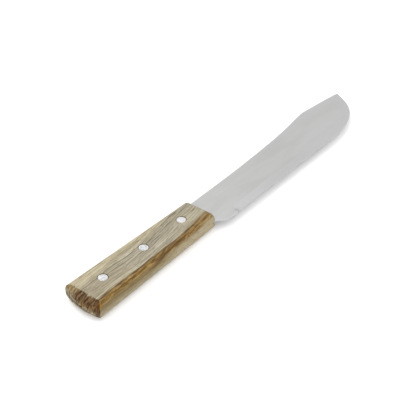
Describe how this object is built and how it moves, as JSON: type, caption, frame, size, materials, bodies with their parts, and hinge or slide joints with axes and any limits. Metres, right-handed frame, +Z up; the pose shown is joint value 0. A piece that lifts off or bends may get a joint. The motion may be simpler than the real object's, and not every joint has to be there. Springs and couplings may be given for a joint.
{
  "type": "butcher knife",
  "caption": "Butcher knife with a broad clipped steel blade and a straight slotted wooden handle held on the tang by cutlery rivets.",
  "frame": {"origin": "centre of the base of the bounding box, with the knife lying on its side", "axes": "+X from the butt of the handle towards the tip, +Y from the cutting edge towards the spine, +Z up, square to the blade's flats"},
  "size_m": [0.3128, 0.0378, 0.0114],
  "materials": {
    "blade_steel": "satin, ground along its length",
    "handle_wood": "lightly oiled open-grained hardwood with brown heartwood streaks",
    "rivet_aluminium": "sanded flush with the wood, bright"
  },
  "bodies": {
    "root": {"blade": "blade_steel", "handle": "handle_wood", "rivet_socket_rear": "rivet_aluminium", "rivet_socket_middle": "rivet_aluminium", "rivet_socket_front": "rivet_aluminium", "rivet_pin_rear": "rivet_aluminium", "rivet_pin_middle": "rivet_aluminium", "rivet_pin_front": "rivet_aluminium"}
  },
  "joints": []
}
